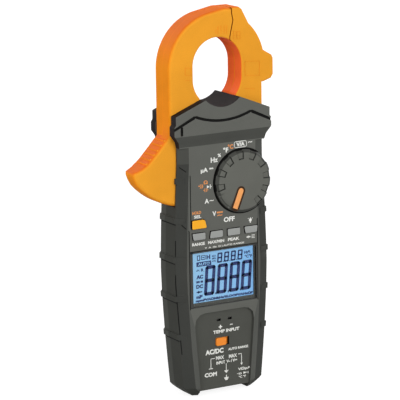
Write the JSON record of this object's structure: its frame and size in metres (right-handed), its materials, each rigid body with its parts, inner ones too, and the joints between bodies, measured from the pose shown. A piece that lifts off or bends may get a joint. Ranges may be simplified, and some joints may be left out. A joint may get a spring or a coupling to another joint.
{
  "type": "clamp meter",
  "caption": "Hand-held current clamp meter: hinged clamp with trigger, hand guard, display, rotary selector, press keys, test lead jacks, thermocouple socket and battery bay.",
  "frame": {"origin": "on the plane of the foot end, on the centre line of the case, in the middle plane of the clamp", "axes": "+X to the right as seen from the front, +Y from the display to the back, +Z from the foot end to the clamp"},
  "size_m": [0.099, 0.0341, 0.2389],
  "materials": {
    "case_plastic": "fine moulded grain, mid grey",
    "grip_plastic": "soft over-moulded grip, dark grey",
    "clamp_plastic": "satin moulded, orange",
    "window_clear": "clear moulded window",
    "display_layers": "reflective display, pale blue when lit",
    "light_guide": "white light guide",
    "contact_rubber": "layered conductive rubber",
    "white_plastic": "moulded, white",
    "key_grey": "moulded silicone, grey",
    "key_orange": "moulded silicone, orange",
    "mat_rubber": "moulded silicone, translucent grey",
    "knob_plastic": "fine moulded grain, mid grey",
    "pointer_orange": "moulded, pale orange",
    "rotor_plastic": "moulded, ivory",
    "slider_orange": "moulded, orange",
    "black_plastic": "moulded, black",
    "contact_brass": "turned and stamped brass, plated",
    "core_steel": "laminated magnetic alloy",
    "coil_copper": null,
    "steel": "plated steel",
    "board_green": "solder mask, green",
    "parts_black": "moulded epoxy, black",
    "cell_jacket": "printed foil jacket, plain"
  },
  "bodies": {
    "case": {"front_case": "case_plastic", "rear_case": "case_plastic", "front_grip_left": "grip_plastic", "front_grip_right": "grip_plastic", "display_window": "window_clear", "display_glass": "display_layers", "display_backlight": "light_guide", "display_frame": "white_plastic", "contact_strips": "contact_rubber", "key_mat": "mat_rubber", "thermocouple_socket": "black_plastic", "thermocouple_contacts": "steel", "fixed_jaw_front": "clamp_plastic", "fixed_jaw_rear": "clamp_plastic", "fixed_core": "core_steel", "fixed_coil": "coil_copper", "jaw_pivot_pin": "steel", "jaw_spring": "steel", "fixed_jaw_screws": "steel", "jack_housing": "black_plastic", "common_jack": "contact_brass", "volt_jack": "contact_brass", "main_board": "board_green", "board_parts": "parts_black", "sounder": "parts_black", "batteries": "cell_jacket", "battery_contacts": "steel", "case_screws": "steel"},
    "jaw": {"moving_jaw_front": "clamp_plastic", "moving_jaw_rear": "clamp_plastic", "moving_core": "core_steel", "moving_coil": "coil_copper", "moving_jaw_screws": "steel"},
    "selector": {"selector_knob": "knob_plastic", "selector_pointer": "pointer_orange", "selector_rotor": "rotor_plastic", "rotor_wipers": "contact_brass"},
    "select_key": {"select_button": "key_orange"},
    "range_key": {"range_button": "key_grey"},
    "max_min_key": {"max_min_button": "key_grey"},
    "peak_key": {"peak_button": "key_grey"},
    "light_key": {"light_button": "key_grey"},
    "slider": {"input_slider": "slider_orange"},
    "door": {"battery_door": "case_plastic", "door_screw": "steel", "door_seal": "mat_rubber"}
  },
  "joints": [
    {"name": "jaw_hinge", "type": "hinge", "parent": "case", "child": "jaw", "pos_m": [-0.021, 0, 0.167], "axis": [0, -1, 0], "range_deg": [0, 24], "stiffness_Nm_per_rad": 0.6, "springref_deg": -28.65, "deforming": ["jaw_spring"]},
    {"name": "selector_turn", "type": "hinge", "parent": "case", "child": "selector", "pos_m": [0.0136, 0, 0.1327], "axis": [0, 1, 0], "range_deg": [0, 157.5]},
    {"name": "select_key_press", "type": "slide", "parent": "case", "child": "select_key", "axis": [0, 1, 0], "range_m": [0, 0.0008], "stiffness_N_per_m": 2500, "springref_m": -0.0002},
    {"name": "range_key_press", "type": "slide", "parent": "case", "child": "range_key", "axis": [0, 1, 0], "range_m": [0, 0.0008], "stiffness_N_per_m": 2500, "springref_m": -0.0002},
    {"name": "max_min_key_press", "type": "slide", "parent": "case", "child": "max_min_key", "axis": [0, 1, 0], "range_m": [0, 0.0008], "stiffness_N_per_m": 2500, "springref_m": -0.0002},
    {"name": "peak_key_press", "type": "slide", "parent": "case", "child": "peak_key", "axis": [0, 1, 0], "range_m": [0, 0.0008], "stiffness_N_per_m": 2500, "springref_m": -0.0002},
    {"name": "light_key_press", "type": "slide", "parent": "case", "child": "light_key", "axis": [0, 1, 0], "range_m": [0, 0.0008], "stiffness_N_per_m": 2500, "springref_m": -0.0002},
    {"name": "slider_move", "type": "slide", "parent": "case", "child": "slider", "axis": [1, 0, 0], "range_m": [0, 0.0024]},
    {"name": "door_lift", "type": "slide", "parent": "case", "child": "door", "axis": [0, 1, 0], "range_m": [0, 0.015]}
  ]
}
